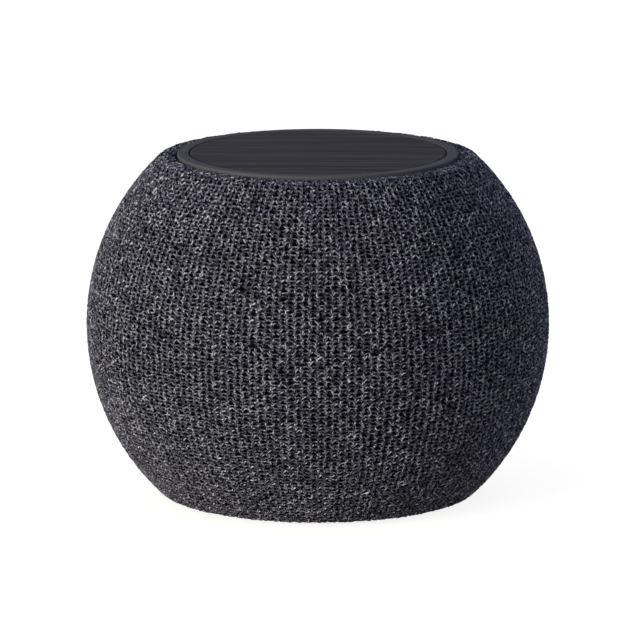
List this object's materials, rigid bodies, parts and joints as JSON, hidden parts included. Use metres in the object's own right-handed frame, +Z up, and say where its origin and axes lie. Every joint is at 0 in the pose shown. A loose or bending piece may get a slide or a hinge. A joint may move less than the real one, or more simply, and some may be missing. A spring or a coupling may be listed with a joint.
{
  "type": "smart home hub",
  "caption": "Ball-shaped table-top smart home speaker hub with a knitted sleeve, a flat wireless charging top, a front driver, a rear passive radiator and a rear button panel.",
  "frame": {"origin": "middle of the underside, on the surface that the foot ring stands on", "axes": "+Z up; the front, where the driver faces, is -Y; the button panel is on +Y"},
  "size_m": [0.12, 0.12, 0.09],
  "materials": {
    "knit": "matte melange knit",
    "trim": "soft satin moulding",
    "plate": "satin with a fine brushed grain",
    "panel": "fine spark texture",
    "button": "soft-touch",
    "plunger": "moulded",
    "clear": "clear acrylic light pipe",
    "silicone": "matte silicone",
    "base": "fine texture",
    "screw_steel": "zinc plated",
    "shell": "moulded ABS",
    "litz_copper": "enamelled copper",
    "ferrite": "sintered ferrite",
    "epoxy": "epoxy bead",
    "white_abs": "moulded ABS",
    "circuit_board": "solder mask",
    "chips": "epoxy packages",
    "chamber": "moulded ABS",
    "foam": "closed-cell foam",
    "black_steel": "black e-coat",
    "zinc_steel": "zinc plated",
    "paper_cone": "pressed paper pulp",
    "butyl": "butyl rubber",
    "spider_cloth": "resin-set cloth",
    "diaphragm": "dark anodised",
    "tin_plate": "tin plate",
    "led": "LED package",
    "antenna_film": "polyimide film",
    "ribbon": "flat flex",
    "battery_wrap": "foil pouch",
    "wire_red": "PVC sleeve",
    "wire_black": "PVC sleeve",
    "wire_yellow": "PVC sleeve"
  },
  "bodies": {
    "hub": {"knit_sleeve": "knit", "top_trim_ring": "trim", "charging_plate": "plate", "control_panel": "panel", "light_pipe": "clear", "foot_ring": "silicone", "base_cover": "base", "base_screws": "screw_steel", "upper_grille_shell": "shell", "lower_grille_shell": "shell", "shell_screws": "screw_steel", "charging_coil": "litz_copper", "ferrite_disc": "ferrite", "temperature_sensor": "epoxy", "coil_carrier": "white_abs", "charger_board": "circuit_board", "charger_components": "chips", "chamber_front": "chamber", "chamber_rear": "chamber", "chamber_seal": "foam", "driver_basket": "black_steel", "driver_gasket": "foam", "driver_top_plate": "zinc_steel", "driver_magnet": "ferrite", "driver_yoke": "zinc_steel", "driver_surround": "butyl", "driver_spider": "spider_cloth", "radiator_frame": "black_steel", "radiator_surround": "butyl", "speaker_screws": "screw_steel", "inner_screws": "screw_steel", "main_board": "circuit_board", "main_board_components": "chips", "radio_shield_can": "tin_plate", "usb_port": "tin_plate", "status_led": "led", "microphone": "tin_plate", "microphone_boot": "silicone", "antenna_board": "antenna_film", "button_board": "circuit_board", "tact_switches": "chips", "ribbon_cable": "ribbon", "battery_cell": "battery_wrap", "battery_bracket": "white_abs", "battery_lead": "wire_red", "driver_leads": "wire_black", "charger_lead": "wire_yellow"},
    "power_button": {"button_power": "button", "plunger_power": "plunger"},
    "minus_button": {"button_minus": "button", "plunger_minus": "plunger"},
    "play_button": {"button_play": "button", "plunger_play": "plunger"},
    "plus_button": {"button_plus": "button", "plunger_plus": "plunger"},
    "cone_assembly": {"driver_cone": "paper_cone", "dust_cap": "paper_cone", "voice_coil": "litz_copper"},
    "radiator_piston": {"radiator_diaphragm": "diaphragm", "radiator_weight": "zinc_steel"}
  },
  "joints": [
    {"name": "power_press", "type": "slide", "parent": "hub", "child": "power_button", "axis": [0, -1, 0], "range_m": [0, 0.0005], "stiffness_N_per_m": 2500, "springref_m": -0.0004},
    {"name": "minus_press", "type": "slide", "parent": "hub", "child": "minus_button", "axis": [0, -1, 0], "range_m": [0, 0.0005], "stiffness_N_per_m": 2500, "springref_m": -0.0004},
    {"name": "play_press", "type": "slide", "parent": "hub", "child": "play_button", "axis": [0, -1, 0], "range_m": [0, 0.0005], "stiffness_N_per_m": 2500, "springref_m": -0.0004},
    {"name": "plus_press", "type": "slide", "parent": "hub", "child": "plus_button", "axis": [0, -1, 0], "range_m": [0, 0.0005], "stiffness_N_per_m": 2500, "springref_m": -0.0004},
    {"name": "cone_stroke", "type": "slide", "parent": "hub", "child": "cone_assembly", "axis": [0, -1, 0], "range_m": [-0.002, 0.002], "stiffness_N_per_m": 1200, "deforming": ["driver_surround", "driver_spider"]},
    {"name": "radiator_stroke", "type": "slide", "parent": "hub", "child": "radiator_piston", "axis": [0, 1, 0], "range_m": [-0.002, 0.002], "stiffness_N_per_m": 900, "deforming": ["radiator_surround"]}
  ]
}
